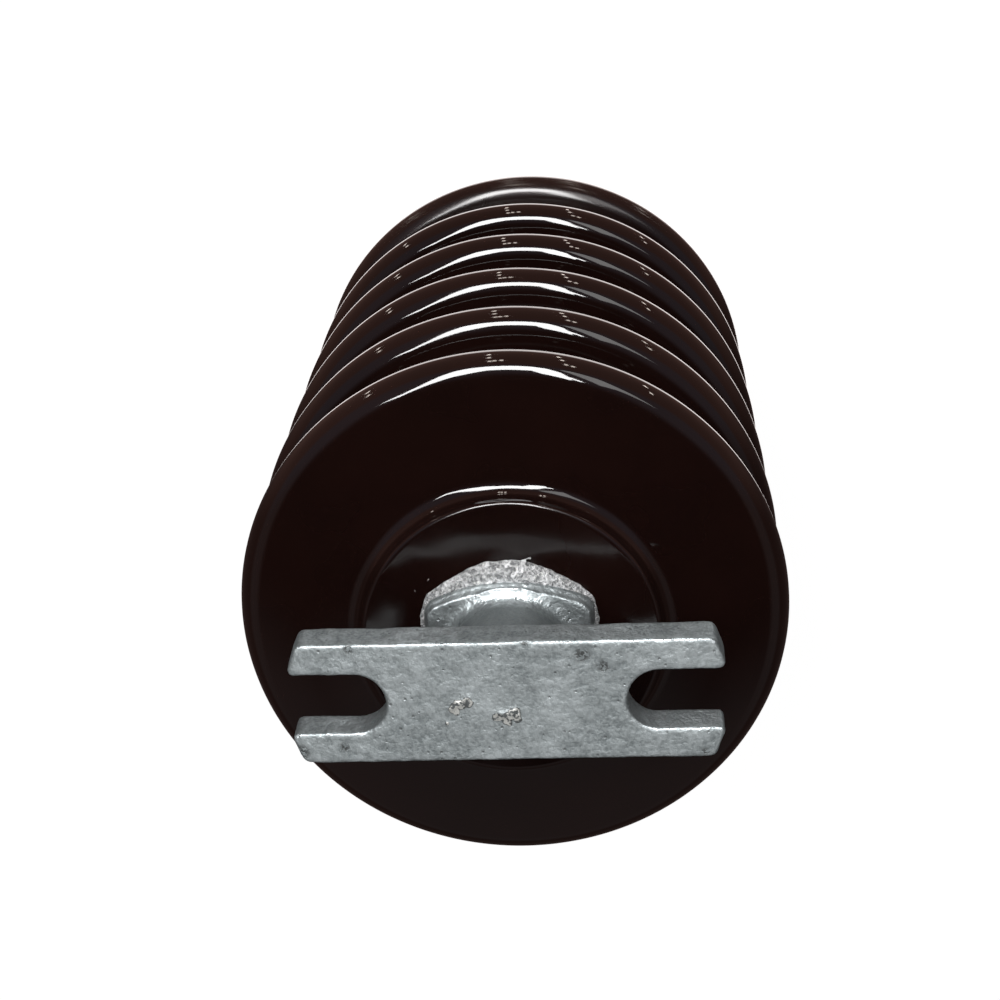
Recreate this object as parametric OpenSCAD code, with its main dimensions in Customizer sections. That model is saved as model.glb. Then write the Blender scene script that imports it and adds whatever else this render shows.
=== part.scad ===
// Porcelain post insulator: a glazed stack of sheds with a cemented, slotted bar fitting in each end.
// Z runs along the insulator, the origin is at the centre of the lower seat face, and all sizes are in mm.

/* [Porcelain body] */
// Number of sheds on the column
shed_count = 6; // [3:1:8]
// Distance from one shed to the next
shed_pitch = 36.56; // [34:0.02:44]
// Diameter over the rim of a shed
shed_diameter = 148.6; // [140:0.2:150]
// Radius of the rounded shed rim
rim_radius = 7.3; // [6.4:0.1:7.4]
// Slope of a shed's upper face, in degrees
upper_slope = 10; // [8:0.5:10]
// Slope of a shed's underside, in degrees
lower_slope = 4; // [2:0.5:6]
// Diameter of the core between the sheds
core_diameter = 80; // [79:0.1:84]
// Fillet where a shed's upper face meets the core
upper_fillet = 5; // [3:0.5:5]
// Fillet where a shed's underside meets the core
lower_fillet = 9; // [6:0.5:10]
// Rounding of the core's two end edges
end_rounding = 1.8; // [1:0.1:1.9]
// Upper end face of the core to the centre of the top shed's rim
top_margin = 18.3; // [18.2:0.1:24]
// Centre of the lowest shed's rim to the lower end face of the core
bottom_margin = 25; // [24:0.1:36]

/* [Cemented joint] */
// Diameter of the socket in each end of the core
socket_diameter = 46; // [45:0.5:50]
// Depth of each socket
socket_depth = 48; // [47:0.5:52]
// Thickness of the fired sand lining on the socket wall
sand_thickness = 1.2; // [0.8:0.1:1.6]
// Thickness of the bitumen coat on the fitting's shank
coat_thickness = 0.8; // [0.5:0.1:1]
// Diameter of the cement collar where it lies on the core's end face
collar_diameter = 49; // [48:0.5:54]
// Diameter of the cement collar where it meets the underside of the flange
collar_top_diameter = 45; // [44:0.5:48]

/* [Fitting shank and flange] */
// Diameter of the shank at the bottom of its grooves
shank_diameter = 26; // [24:0.5:28]
// Diameter over the shank's locking rings
ring_diameter = 36; // [33:0.5:38]
// Number of locking rings on the shank
ring_count = 3; // [2:1:3]
// Width of the flange
flange_width = 44.6; // [43:0.2:46]
// Height of the flange between its two crowned edges
flange_height = 38; // [38:0.2:40]
// Radius of the flange's crowned edges
crown_radius = 44; // [36:1:70]
// Core end face to the outer face of the flange
flange_face = 6.7; // [6.2:0.1:8]
// Step in from the flange's edge to its raised face
flange_step = 0.8; // [0.4:0.1:0.8]

/* [Neck and slotted bar] */
// Diameter of the neck between flange and bar
neck_diameter = 32; // [28:0.5:32]
// Radius of the fillet between the neck and the flange
neck_fillet = 3; // [2:0.25:3]
// Core end face to the seat face of the bar
stand_off = 33; // [32:0.1:40]
// Length of the bar
bar_length = 108.6; // [106:0.2:116]
// Width of the bar
bar_width = 34; // [33:0.5:38]
// Thickness of the bar
bar_thickness = 10.7; // [10:0.1:13]
// Distance between the round roots of the two slots, centre to centre
slot_spacing = 76.2; // [74:0.1:78]
// Width of each open slot
slot_width = 15.88; // [14:0.01:17]
// Radius of the bow in each end of the bar
end_bow = 40; // [34:1:60]
// Corner radius of the bar's outline
bar_corner = 3; // [2:0.2:4]
// Corner radius at the mouth of each slot
mouth_corner = 2; // [1:0.2:2.6]
// Rounding along the bar's long edges
bar_edge = 2; // [1.2:0.2:3]

/* [Hidden] */
$fn = 96;
shed_radius = shed_diameter / 2;
core_radius = core_diameter / 2;
rim_centre = shed_radius - rim_radius;
core_length = top_margin + (shed_count - 1) * shed_pitch + bottom_margin;
lower_face = stand_off;
upper_face = stand_off + core_length;
top_rim = upper_face - top_margin;
socket_radius = socket_diameter / 2;
sand_radius = socket_radius - sand_thickness;
collar_height = 2.2;
flange_lip = collar_height + 2.3;
shank_radius = shank_diameter / 2;
ring_radius = ring_diameter / 2;
shank_end = -44;
first_ring = -6;
ring_pitch = (first_ring - shank_end) / ring_count;
ring_land = 2;
ring_back = 2;
neck_radius = neck_diameter / 2;
bar_back = stand_off - bar_thickness;
slot_root = slot_spacing / 2;
mouth_side = slot_width / 2 + mouth_corner;
mouth_reach = sqrt(pow(end_bow - mouth_corner, 2) - mouth_side * mouth_side);
bow_centre = bar_length / 2 - mouth_corner - mouth_reach;
joint = 0.6;

// Height of a shed's upper face above its rim centre at a given radius
function upper_at(r) = rim_radius / cos(upper_slope) + (rim_centre - r) * tan(upper_slope);

// Height of a shed's underside above its rim centre at a given radius
function lower_at(r) = -rim_radius / cos(lower_slope) + (rim_centre - r) * tan(lower_slope);

// Height of the centre of the fillet above a shed, and of the one under it
function upper_fillet_at() = upper_at(core_radius + upper_fillet) + upper_fillet / cos(upper_slope);
function lower_fillet_at() = lower_at(core_radius + lower_fillet) - lower_fillet / cos(lower_slope);

// One locking ring as [radius, height] pairs, from its outer end inward
function ring_points(i) = let (top = first_ring - i * ring_pitch) [
    [shank_radius, top],
    [ring_radius, top - ring_pitch + ring_land + ring_back],
    [ring_radius, top - ring_pitch + ring_back],
    [shank_radius, top - ring_pitch + ring_back / 2]
];

// The shank's outline below the flange, grown by a coat of the given thickness
function shank_outline(grow) = concat(
    [[shank_radius + grow, collar_height]],
    [for (i = [0 : ring_count - 1]) for (p = ring_points(i)) [p[0] + grow, p[1]]],
    [[shank_radius + grow, shank_end]]
);

function reversed(list) = [for (i = [len(list) - 1 : -1 : 0]) list[i]];

// A shed's section about its rim centre, out from inside the core
module shed_section() {
    inner = core_radius - 6;
    polygon([
        [inner, lower_at(inner)],
        [rim_centre - rim_radius * sin(lower_slope), -rim_radius * cos(lower_slope)],
        [rim_centre, 0],
        [rim_centre + rim_radius * sin(upper_slope), rim_radius * cos(upper_slope)],
        [inner, upper_at(inner)]
    ]);
    translate([rim_centre, 0])
        circle(r = rim_radius);
}

// The filled corner above a shed, hollowed by the fillet's circle
module upper_fillet_section() {
    centre = upper_fillet_at();
    reach = core_radius + upper_fillet;
    foot = reach - upper_fillet * sin(upper_slope);
    difference() {
        polygon([
            [core_radius - 2, upper_at(foot) - 2],
            [foot, upper_at(foot) - 2],
            [foot, upper_at(foot)],
            [core_radius, centre],
            [core_radius - 2, centre]
        ]);
        translate([reach, centre])
            circle(r = upper_fillet);
    }
}

// The filled corner under a shed, hollowed by the fillet's circle
module lower_fillet_section() {
    centre = lower_fillet_at();
    reach = core_radius + lower_fillet;
    foot = reach + lower_fillet * sin(lower_slope);
    difference() {
        polygon([
            [core_radius - 2, centre],
            [core_radius, centre],
            [foot, lower_at(foot)],
            [foot, lower_at(foot) + 2],
            [core_radius - 2, lower_at(foot) + 2]
        ]);
        translate([reach, centre])
            circle(r = lower_fillet);
    }
}

// The core's section, with both of its end edges rounded
module core_section() {
    inset = core_radius - end_rounding;
    translate([0, lower_face])
        square([inset, core_length]);
    translate([0, lower_face + end_rounding])
        square([core_radius, core_length - 2 * end_rounding]);
    for (z = [lower_face + end_rounding, upper_face - end_rounding])
        translate([inset, z])
            circle(r = end_rounding);
}

module socket(face, direction) {
    translate([0, 0, direction > 0 ? face - socket_depth : face - joint])
        cylinder(h = socket_depth + joint, r = socket_radius);
}

module porcelain_body() {
    color([0.10, 0.05, 0.04])
        difference() {
            rotate_extrude() {
                core_section();
                for (i = [0 : shed_count - 1])
                    translate([0, top_rim - i * shed_pitch]) {
                        shed_section();
                        upper_fillet_section();
                        lower_fillet_section();
                    }
            }
            socket(upper_face, 1);
            socket(lower_face, -1);
        }
}

// Puts an end piece, drawn outward from a core end face at zero, on the top or the bottom end
module at_end(end) {
    if (end == "top")
        translate([0, 0, upper_face])
            children();
    else
        translate([0, 0, lower_face])
            rotate([180, 0, 0])
                children();
}

module rounded_plate(length, width, corner) {
    square([length - 2 * corner, width], center = true);
    square([length, width - 2 * corner], center = true);
    for (x = [-1, 1])
        for (y = [-1, 1])
            translate([x * (length / 2 - corner), y * (width / 2 - corner)])
                circle(r = corner);
}

// Half of the bar's outline, with a bowed end and two rounded corners
module half_plate() {
    side = bar_width / 2 - bar_corner;
    inner = end_bow - bar_corner;
    reach = sqrt(inner * inner - side * side);
    spread = 1.2;
    translate([-joint, -bar_width / 2])
        square([bow_centre + reach + joint, bar_width]);
    intersection() {
        translate([bow_centre, 0])
            circle(r = end_bow);
        polygon([
            [bow_centre, 0],
            [bow_centre + spread * reach, -spread * side],
            [bow_centre + spread * reach, spread * side]
        ]);
    }
    for (y = [-side, side])
        translate([bow_centre + reach, y])
            circle(r = bar_corner);
}

// The open slot at the positive end, with its mouth corners rounded outward
module slot_cut() {
    half = slot_width / 2;
    corner = bow_centre + mouth_reach;
    beyond = bow_centre + end_bow + joint;
    wing = (beyond - bow_centre) * mouth_side / mouth_reach;
    translate([slot_root, 0])
        circle(r = half);
    translate([slot_root, -half])
        square([beyond - slot_root, slot_width]);
    difference() {
        polygon([[corner, -mouth_side], [beyond, -wing], [beyond, wing], [corner, mouth_side]]);
        for (y = [-mouth_side, mouth_side])
            translate([corner, y])
                circle(r = mouth_corner);
    }
}

module half_bar() {
    difference() {
        half_plate();
        slot_cut();
    }
}

module bar() {
    intersection() {
        translate([0, 0, bar_back])
            linear_extrude(height = bar_thickness)
                for (turn = [0, 180])
                    rotate(turn)
                        half_bar();
        translate([-bar_length / 2 - 1, 0, bar_back + bar_thickness / 2])
            rotate([90, 0, 90])
                linear_extrude(height = bar_length + 2)
                    rounded_plate(bar_width, bar_thickness, bar_edge);
    }
}

module neck() {
    length = bar_back - flange_face;
    sink = neck_fillet * 0.96;
    reach = neck_radius + neck_fillet - sqrt(neck_fillet * neck_fillet - sink * sink);
    translate([0, 0, flange_face])
        rotate_extrude()
            difference() {
                translate([0, -joint])
                    square([reach, joint + length + bar_edge]);
                translate([neck_radius, sink])
                    square([reach, length + bar_edge]);
                translate([neck_radius + neck_fillet, sink])
                    circle(r = neck_fillet);
            }
}

// The flange's outline, crowned above and below, with its corners trimmed round
module flange_outline(inset) {
    width = flange_width - 2 * inset;
    height = flange_height - 2 * inset;
    corner = norm([flange_width / 2, flange_height / 2 - 6]) - inset;
    intersection() {
        square([width, height], center = true);
        circle(r = corner);
        translate([0, height / 2 - crown_radius])
            circle(r = crown_radius);
        translate([0, crown_radius - height / 2])
            circle(r = crown_radius);
    }
}

module flange() {
    translate([0, 0, collar_height])
        linear_extrude(height = flange_lip - collar_height)
            flange_outline(0);
    translate([0, 0, flange_lip - joint])
        linear_extrude(height = flange_face - flange_lip + joint)
            flange_outline(flange_step);
}

module shank() {
    rotate_extrude()
        polygon(concat(
            [[0, shank_end], [0, collar_height + joint], [shank_radius, collar_height + joint]],
            shank_outline(0)
        ));
}

module fitting(end) {
    color([0.70, 0.72, 0.74])
        at_end(end) {
            bar();
            neck();
            flange();
            shank();
        }
}

module cement(end) {
    coat = shank_outline(coat_thickness);
    pad = ring_radius;
    color([0.62, 0.61, 0.58])
        at_end(end)
            rotate_extrude()
                polygon(concat(
                    coat,
                    [[pad, shank_end], [pad, -socket_depth], [sand_radius, -socket_depth]],
                    [[sand_radius, 0], [collar_diameter / 2, 0], [collar_top_diameter / 2, collar_height]]
                ));
}

module sand_band(end) {
    color([0.55, 0.50, 0.44])
        at_end(end)
            rotate_extrude()
                translate([sand_radius, -socket_depth])
                    square([sand_thickness, socket_depth]);
}

module bitumen_coat(end) {
    color([0.05, 0.05, 0.05])
        at_end(end)
            rotate_extrude()
                polygon(concat(shank_outline(0), reversed(shank_outline(coat_thickness))));
}

module cushion_pad(end) {
    color([0.45, 0.33, 0.22])
        at_end(end)
            translate([0, 0, -socket_depth])
                cylinder(h = socket_depth + shank_end, r = ring_radius);
}

porcelain_body();
fitting("top");  // top_fitting
cement("top");  // top_cement
sand_band("top");  // top_sand_band
bitumen_coat("top");  // top_bitumen_coat
cushion_pad("top");  // top_cushion_pad
fitting("bottom");  // bottom_fitting
cement("bottom");  // bottom_cement
sand_band("bottom");  // bottom_sand_band
bitumen_coat("bottom");  // bottom_bitumen_coat
cushion_pad("bottom");  // bottom_cushion_pad
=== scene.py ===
"""Looks of the porcelain post insulator: glazed sheds, zinc-coated castings and cement collars.

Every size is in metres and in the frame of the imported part: Z runs along the insulator, and the centre of
the lower seat face is the origin.
"""

from __future__ import annotations

import logging
import math
from dataclasses import dataclass
from enum import Enum

import bpy
from mathutils import Matrix, Vector


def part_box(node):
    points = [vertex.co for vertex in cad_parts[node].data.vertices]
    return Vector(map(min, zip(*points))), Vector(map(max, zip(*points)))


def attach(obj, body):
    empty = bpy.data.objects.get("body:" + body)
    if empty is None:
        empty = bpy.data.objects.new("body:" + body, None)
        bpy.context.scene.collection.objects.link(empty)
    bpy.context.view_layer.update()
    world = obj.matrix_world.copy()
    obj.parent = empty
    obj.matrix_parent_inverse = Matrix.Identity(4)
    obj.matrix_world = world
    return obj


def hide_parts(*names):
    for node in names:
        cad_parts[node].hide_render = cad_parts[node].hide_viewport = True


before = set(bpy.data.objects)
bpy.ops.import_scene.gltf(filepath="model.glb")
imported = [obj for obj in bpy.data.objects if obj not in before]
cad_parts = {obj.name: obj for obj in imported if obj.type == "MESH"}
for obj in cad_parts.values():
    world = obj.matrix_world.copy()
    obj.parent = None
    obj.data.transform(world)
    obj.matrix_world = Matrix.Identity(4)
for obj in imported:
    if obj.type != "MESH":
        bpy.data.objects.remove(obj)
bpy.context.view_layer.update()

log = logging.getLogger("insulator")

MM = 0.001
# Half of the height from seat to seat, in metres.
MID_HEIGHT = 0.14605

Point = tuple[float, float]


class End(Enum):
    """The two ends of the insulator, by the prefix of their CAD nodes."""

    TOP = "top"
    BOTTOM = "bottom"


class Slot(Enum):
    """The record's material slots."""

    PORCELAIN = "glazed_porcelain"
    IRON = "galvanised_iron"
    CEMENT = "cement"
    SAND = "fired_sand"
    BITUMEN = "bitumen"
    CORK = "cork_pad"


# ----------------------------------------------------------------------------------------------------------
# Modelling by hand, in code
# ----------------------------------------------------------------------------------------------------------


def deselect_all() -> None:
    """Leave edit mode and let go of every object."""
    if bpy.context.mode != "OBJECT":
        bpy.ops.object.mode_set(mode="OBJECT")
    bpy.ops.object.select_all(action="DESELECT")


def activate(piece: bpy.types.Object) -> None:
    """Select one piece alone and make it active.

    Args:
        piece: The object to work on next.
    """
    deselect_all()
    piece.select_set(True)
    bpy.context.view_layer.objects.active = piece


def trace(name: str, points: list[Vector], closed: bool = False) -> bpy.types.Object:
    """Draw a line of edges by extruding one vertex from point to point.

    Args:
        name: Name of the new piece.
        points: The line's points, in order.
        closed: Whether the last point joins the first.

    Returns:
        The new object, left in edit mode with all of it selected.
    """
    deselect_all()
    bpy.ops.mesh.primitive_plane_add(size=MM)
    piece = bpy.context.object
    piece.name = name
    piece.data.name = name
    bpy.ops.object.mode_set(mode="EDIT")
    bpy.ops.mesh.select_mode(type="VERT")
    bpy.ops.mesh.select_all(action="SELECT")
    bpy.ops.mesh.merge(type="CENTER")
    bpy.ops.transform.translate(value=points[0])
    path = points + [points[0]] if closed else points
    for here, there in zip(path, path[1:]):
        bpy.ops.mesh.extrude_region_move(TRANSFORM_OT_translate={"value": there - here})
    bpy.ops.mesh.select_all(action="SELECT")
    bpy.ops.mesh.remove_doubles(threshold=0.002 * MM)
    return piece


def lathe(name: str, section: list[Point], steps: int) -> bpy.types.Object:
    """Turn a section about the Z axis into a closed shape.

    Args:
        name: Name of the new piece.
        section: (radius, height) pairs in millimetres, from one point on the axis to another.
        steps: Number of faces round the shape.

    Returns:
        The new object, in object mode, with its faces pointing outwards.
    """
    piece = trace(name, [Vector((r, 0.0, z)) * MM for r, z in section])
    bpy.ops.mesh.spin(steps=steps, angle=2 * math.pi, center=(0, 0, 0), axis=(0, 0, 1))
    bpy.ops.mesh.select_all(action="SELECT")
    bpy.ops.mesh.remove_doubles(threshold=0.002 * MM)
    bpy.ops.mesh.normals_make_consistent(inside=False)
    bpy.ops.object.mode_set(mode="OBJECT")
    return piece


def plate(name: str, outline: list[Point], low: float, high: float) -> bpy.types.Object:
    """Fill an outline and draw it up into a plate.

    Args:
        name: Name of the new piece.
        outline: (x, y) pairs in millimetres, round the plate once.
        low: Height of the underside, in millimetres.
        high: Height of the upper side, in millimetres.

    Returns:
        The new object, in object mode.
    """
    piece = trace(name, [Vector((x, y, low)) * MM for x, y in outline], closed=True)
    bpy.ops.mesh.edge_face_add()
    bpy.ops.mesh.extrude_region_move(TRANSFORM_OT_translate={"value": (0, 0, (high - low) * MM)})
    bpy.ops.mesh.select_all(action="SELECT")
    bpy.ops.mesh.normals_make_consistent(inside=False)
    bpy.ops.object.mode_set(mode="OBJECT")
    return piece


def bevel_level_edges(piece: bpy.types.Object, height: float, width: float, segments: int) -> None:
    """Round the edges of a plate that lie at one height.

    Args:
        piece: The plate.
        height: Height of the edges, in millimetres.
        width: Width of the rounding, in millimetres.
        segments: Number of faces across the rounding.
    """
    activate(piece)
    bpy.ops.object.mode_set(mode="EDIT")
    bpy.ops.mesh.select_all(action="DESELECT")
    bpy.ops.object.mode_set(mode="OBJECT")
    verts = piece.data.vertices
    for edge in piece.data.edges:
        edge.select = all(abs(verts[i].co.z - height * MM) < 0.01 * MM for i in edge.vertices)
    bpy.ops.object.mode_set(mode="EDIT")
    bpy.ops.mesh.select_mode(type="EDGE")
    bpy.ops.mesh.bevel(
        offset=width * MM, offset_type="OFFSET", segments=segments, profile=0.5, clamp_overlap=True
    )
    bpy.ops.mesh.select_mode(type="VERT")
    bpy.ops.object.mode_set(mode="OBJECT")


def join(name: str, pieces: list[bpy.types.Object]) -> bpy.types.Object:
    """Join pieces into one object.

    Args:
        name: Name of the joined piece.
        pieces: The objects to join; the first one stays.

    Returns:
        The joined object.
    """
    activate(pieces[0])
    for piece in pieces[1:]:
        piece.select_set(True)
    bpy.ops.object.join()
    joined = bpy.context.object
    joined.name = name
    joined.data.name = name
    return joined


def apply_modifier(piece: bpy.types.Object, kind: str, **settings: object) -> None:
    """Add one modifier, set it and apply it.

    Args:
        piece: The object to change.
        kind: Blender's name for the modifier type.
        **settings: The modifier's own settings.
    """
    activate(piece)
    modifier = piece.modifiers.new(kind.title(), kind)
    for key, value in settings.items():
        setattr(modifier, key, value)
    bpy.ops.object.modifier_apply(modifier=modifier.name)


def roughen(piece: bpy.types.Object, grain: float, depth: float, detail: int) -> None:
    """Press a soft, uneven surface into a piece, never outwards.

    Args:
        piece: The object to change.
        grain: Size of the unevenness, in millimetres.
        depth: How far the surface sinks at most, in millimetres.
        detail: Number of finer levels within the unevenness.
    """
    texture = bpy.data.textures.new(f"{piece.name}_unevenness", "CLOUDS")
    texture.noise_scale = grain * MM
    texture.noise_depth = detail
    apply_modifier(
        piece, "DISPLACE", texture=texture, texture_coords="LOCAL", strength=depth * MM, mid_level=1.0
    )


def smooth_shading(piece: bpy.types.Object, angle: float) -> None:
    """Shade a piece smooth, apart from its sharp edges.

    Args:
        piece: The object to shade.
        angle: Edges sharper than this many degrees stay sharp.
    """
    activate(piece)
    bpy.ops.object.shade_smooth_by_angle(angle=math.radians(angle))


def arc(centre: Point, radius: float, start: float, stop: float, segments: int) -> list[Point]:
    """Points along an arc.

    Args:
        centre: The arc's centre.
        radius: The arc's radius.
        start: First angle, in degrees.
        stop: Last angle, in degrees.
        segments: Number of straight pieces.

    Returns:
        The points, both ends included.
    """
    turns = [math.radians(start + (stop - start) * i / segments) for i in range(segments + 1)]
    return [(centre[0] + radius * math.cos(t), centre[1] + radius * math.sin(t)) for t in turns]


# ----------------------------------------------------------------------------------------------------------
# Shader wiring
# ----------------------------------------------------------------------------------------------------------

Feed = bpy.types.NodeSocket | float | int | tuple


class Wiring:
    """Adds nodes to one node tree and links them."""

    def __init__(self, tree: bpy.types.NodeTree) -> None:
        """Start on a tree.

        Args:
            tree: The node tree to add to.
        """
        self.tree = tree

    def add(
        self, kind: str, feeds: dict[str | int, Feed] | None = None, **settings: object
    ) -> bpy.types.Node:
        """Add a node.

        Args:
            kind: The node's class name, without its ShaderNode prefix.
            feeds: What goes into each input: a socket to link, or a constant.
            **settings: The node's own settings.

        Returns:
            The new node.
        """
        node = self.tree.nodes.new(kind if kind.startswith("NodeGroup") else f"ShaderNode{kind}")
        for key, value in settings.items():
            setattr(node, key, value)
        for key, value in (feeds or {}).items():
            self.feed(node.inputs[key], value)
        return node

    def feed(self, socket: bpy.types.NodeSocket, value: Feed) -> None:
        """Link a socket to an input, or set the input's constant.

        Args:
            socket: The input.
            value: The output socket or the constant that goes into it.
        """
        if isinstance(value, bpy.types.NodeSocket):
            self.tree.links.new(value, socket)
        else:
            socket.default_value = value

    def math(self, operation: str, *values: Feed, clamp: bool = False) -> bpy.types.NodeSocket:
        """Add a Math node and return its result.

        Args:
            operation: Blender's name for the operation.
            *values: One to three numbers or sockets.
            clamp: Whether the result is held between 0 and 1.

        Returns:
            The node's output.
        """
        node = self.add("Math", dict(enumerate(values)), operation=operation, use_clamp=clamp)
        return node.outputs[0]

    def mix(self, factor: Feed, first: Feed, second: Feed, blend: str = "MIX") -> bpy.types.NodeSocket:
        """Mix two colours.

        Args:
            factor: How much of the second.
            first: The first colour.
            second: The second colour.
            blend: Blender's name for the blend.

        Returns:
            The mixed colour.
        """
        node = self.add("Mix", data_type="RGBA", blend_type=blend)
        self.feed(node.inputs[0], factor)
        self.feed(node.inputs[6], first)
        self.feed(node.inputs[7], second)
        return node.outputs[2]

    def spread(
        self, value: Feed, low: float, high: float, start: float = 0.0, stop: float = 1.0
    ) -> bpy.types.NodeSocket:
        """Map a value smoothly from one range to another.

        Args:
            value: The value to map.
            low: Start of the old range.
            high: End of the old range.
            start: Start of the new range.
            stop: End of the new range.

        Returns:
            The mapped value.
        """
        feeds = {"Value": value, "From Min": low, "From Max": high, "To Min": start, "To Max": stop}
        return self.add("MapRange", feeds, interpolation_type="SMOOTHSTEP").outputs[0]

    def group(self, tree: bpy.types.NodeTree, feeds: dict[str, Feed]) -> bpy.types.Node:
        """Place a shared effect.

        Args:
            tree: The node group.
            feeds: What goes into each of its inputs.

        Returns:
            The group node.
        """
        node = self.add("Group")
        node.node_tree = tree
        for key, value in feeds.items():
            self.feed(node.inputs[key], value)
        return node

    def bump(
        self, height: Feed, distance: float, strength: float, normal: Feed | None = None
    ) -> bpy.types.NodeSocket:
        """Turn a height into a normal.

        Args:
            height: The height, 0 to 1.
            distance: What a height of 1 stands for, in metres.
            strength: How much of it is used.
            normal: A normal to build on.

        Returns:
            The bumped normal.
        """
        feeds: dict[str | int, Feed] = {"Height": height, "Distance": distance, "Strength": strength}
        if normal is not None:
            feeds["Normal"] = normal
        return self.add("Bump", feeds).outputs[0]


def new_group(
    name: str, inputs: dict[str, float | str], outputs: tuple[str, ...]
) -> tuple[bpy.types.NodeTree, Wiring]:
    """Make an empty shader node group.

    Args:
        name: The group's name.
        inputs: Each input's name and its starting value, or "vector" for a vector.
        outputs: The names of the value outputs.

    Returns:
        The group, and the wiring to fill it with.
    """
    tree = bpy.data.node_groups.new(name, "ShaderNodeTree")
    for label, start in inputs.items():
        kind = "NodeSocketVector" if start == "vector" else "NodeSocketFloat"
        socket = tree.interface.new_socket(name=label, in_out="INPUT", socket_type=kind)
        if start != "vector":
            socket.default_value = start
    for label in outputs:
        tree.interface.new_socket(name=label, in_out="OUTPUT", socket_type="NodeSocketFloat")
    return tree, Wiring(tree)


class Effects:
    """The effects that more than one finish uses, each a node group built once."""

    def __init__(self) -> None:
        """Build the groups."""
        self.mottle = self._mottle()
        self.specks = self._specks()

    @staticmethod
    def _mottle() -> bpy.types.NodeTree:
        """Soft cloudy patches of any size.

        Returns:
            The node group: Vector, Size (m), Detail, Low and High in; Value out.
        """
        start = {"Vector": "vector", "Size": 0.01, "Detail": 3.0, "Low": 0.35, "High": 0.65}
        tree, wiring = new_group("Mottle", start, ("Value",))
        entry = wiring.add("NodeGroupInput")
        scale = wiring.math("DIVIDE", 1.0, entry.outputs["Size"])
        feeds = {"Vector": entry.outputs["Vector"], "Scale": scale, "Detail": entry.outputs["Detail"]}
        noise = wiring.add("TexNoise", feeds)
        spread = wiring.add("MapRange", interpolation_type="SMOOTHSTEP")
        wiring.feed(spread.inputs["Value"], noise.outputs[0])
        wiring.feed(spread.inputs["From Min"], entry.outputs["Low"])
        wiring.feed(spread.inputs["From Max"], entry.outputs["High"])
        leave = wiring.add("NodeGroupOutput")
        wiring.feed(leave.inputs["Value"], spread.outputs[0])
        return tree

    @staticmethod
    def _specks() -> bpy.types.NodeTree:
        """Small round specks, scattered at random, of different sizes.

        Returns:
            The node group: Vector, Pitch (m), Share and Fullness in; Mask out.
        """
        start = {"Vector": "vector", "Pitch": 0.002, "Share": 0.3, "Fullness": 0.35}
        tree, wiring = new_group("Specks", start, ("Mask",))
        entry = wiring.add("NodeGroupInput")
        scale = wiring.math("DIVIDE", 1.0, entry.outputs["Pitch"])
        cells = wiring.add("TexVoronoi", {"Vector": entry.outputs["Vector"], "Scale": scale})
        draw = wiring.add("SeparateColor", {"Color": cells.outputs["Color"]})
        chosen = wiring.math("LESS_THAN", draw.outputs[0], entry.outputs["Share"])
        radius = wiring.math("MULTIPLY", entry.outputs["Fullness"], wiring.math("ADD", draw.outputs[1], 0.25))
        inside = wiring.math(
            "SUBTRACT", 1.0, wiring.math("DIVIDE", cells.outputs["Distance"], radius), clamp=True
        )
        leave = wiring.add("NodeGroupOutput")
        soft = wiring.math("MULTIPLY", inside, 2.0, clamp=True)
        wiring.feed(leave.inputs["Mask"], wiring.math("MULTIPLY", soft, chosen))
        return tree


def new_material(name: str) -> tuple[bpy.types.Material, Wiring, bpy.types.Node, bpy.types.NodeSocket]:
    """Start a material.

    Args:
        name: The material's name.

    Returns:
        The material, its wiring, its Principled shader and its Object coordinates.
    """
    material = bpy.data.materials.new(name)
    material.use_nodes = True
    wiring = Wiring(material.node_tree)
    shader = material.node_tree.nodes["Principled BSDF"]
    place = wiring.add("TexCoord").outputs["Object"]
    return material, wiring, shader, place


# ----------------------------------------------------------------------------------------------------------
# Finishes
# ----------------------------------------------------------------------------------------------------------


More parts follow.
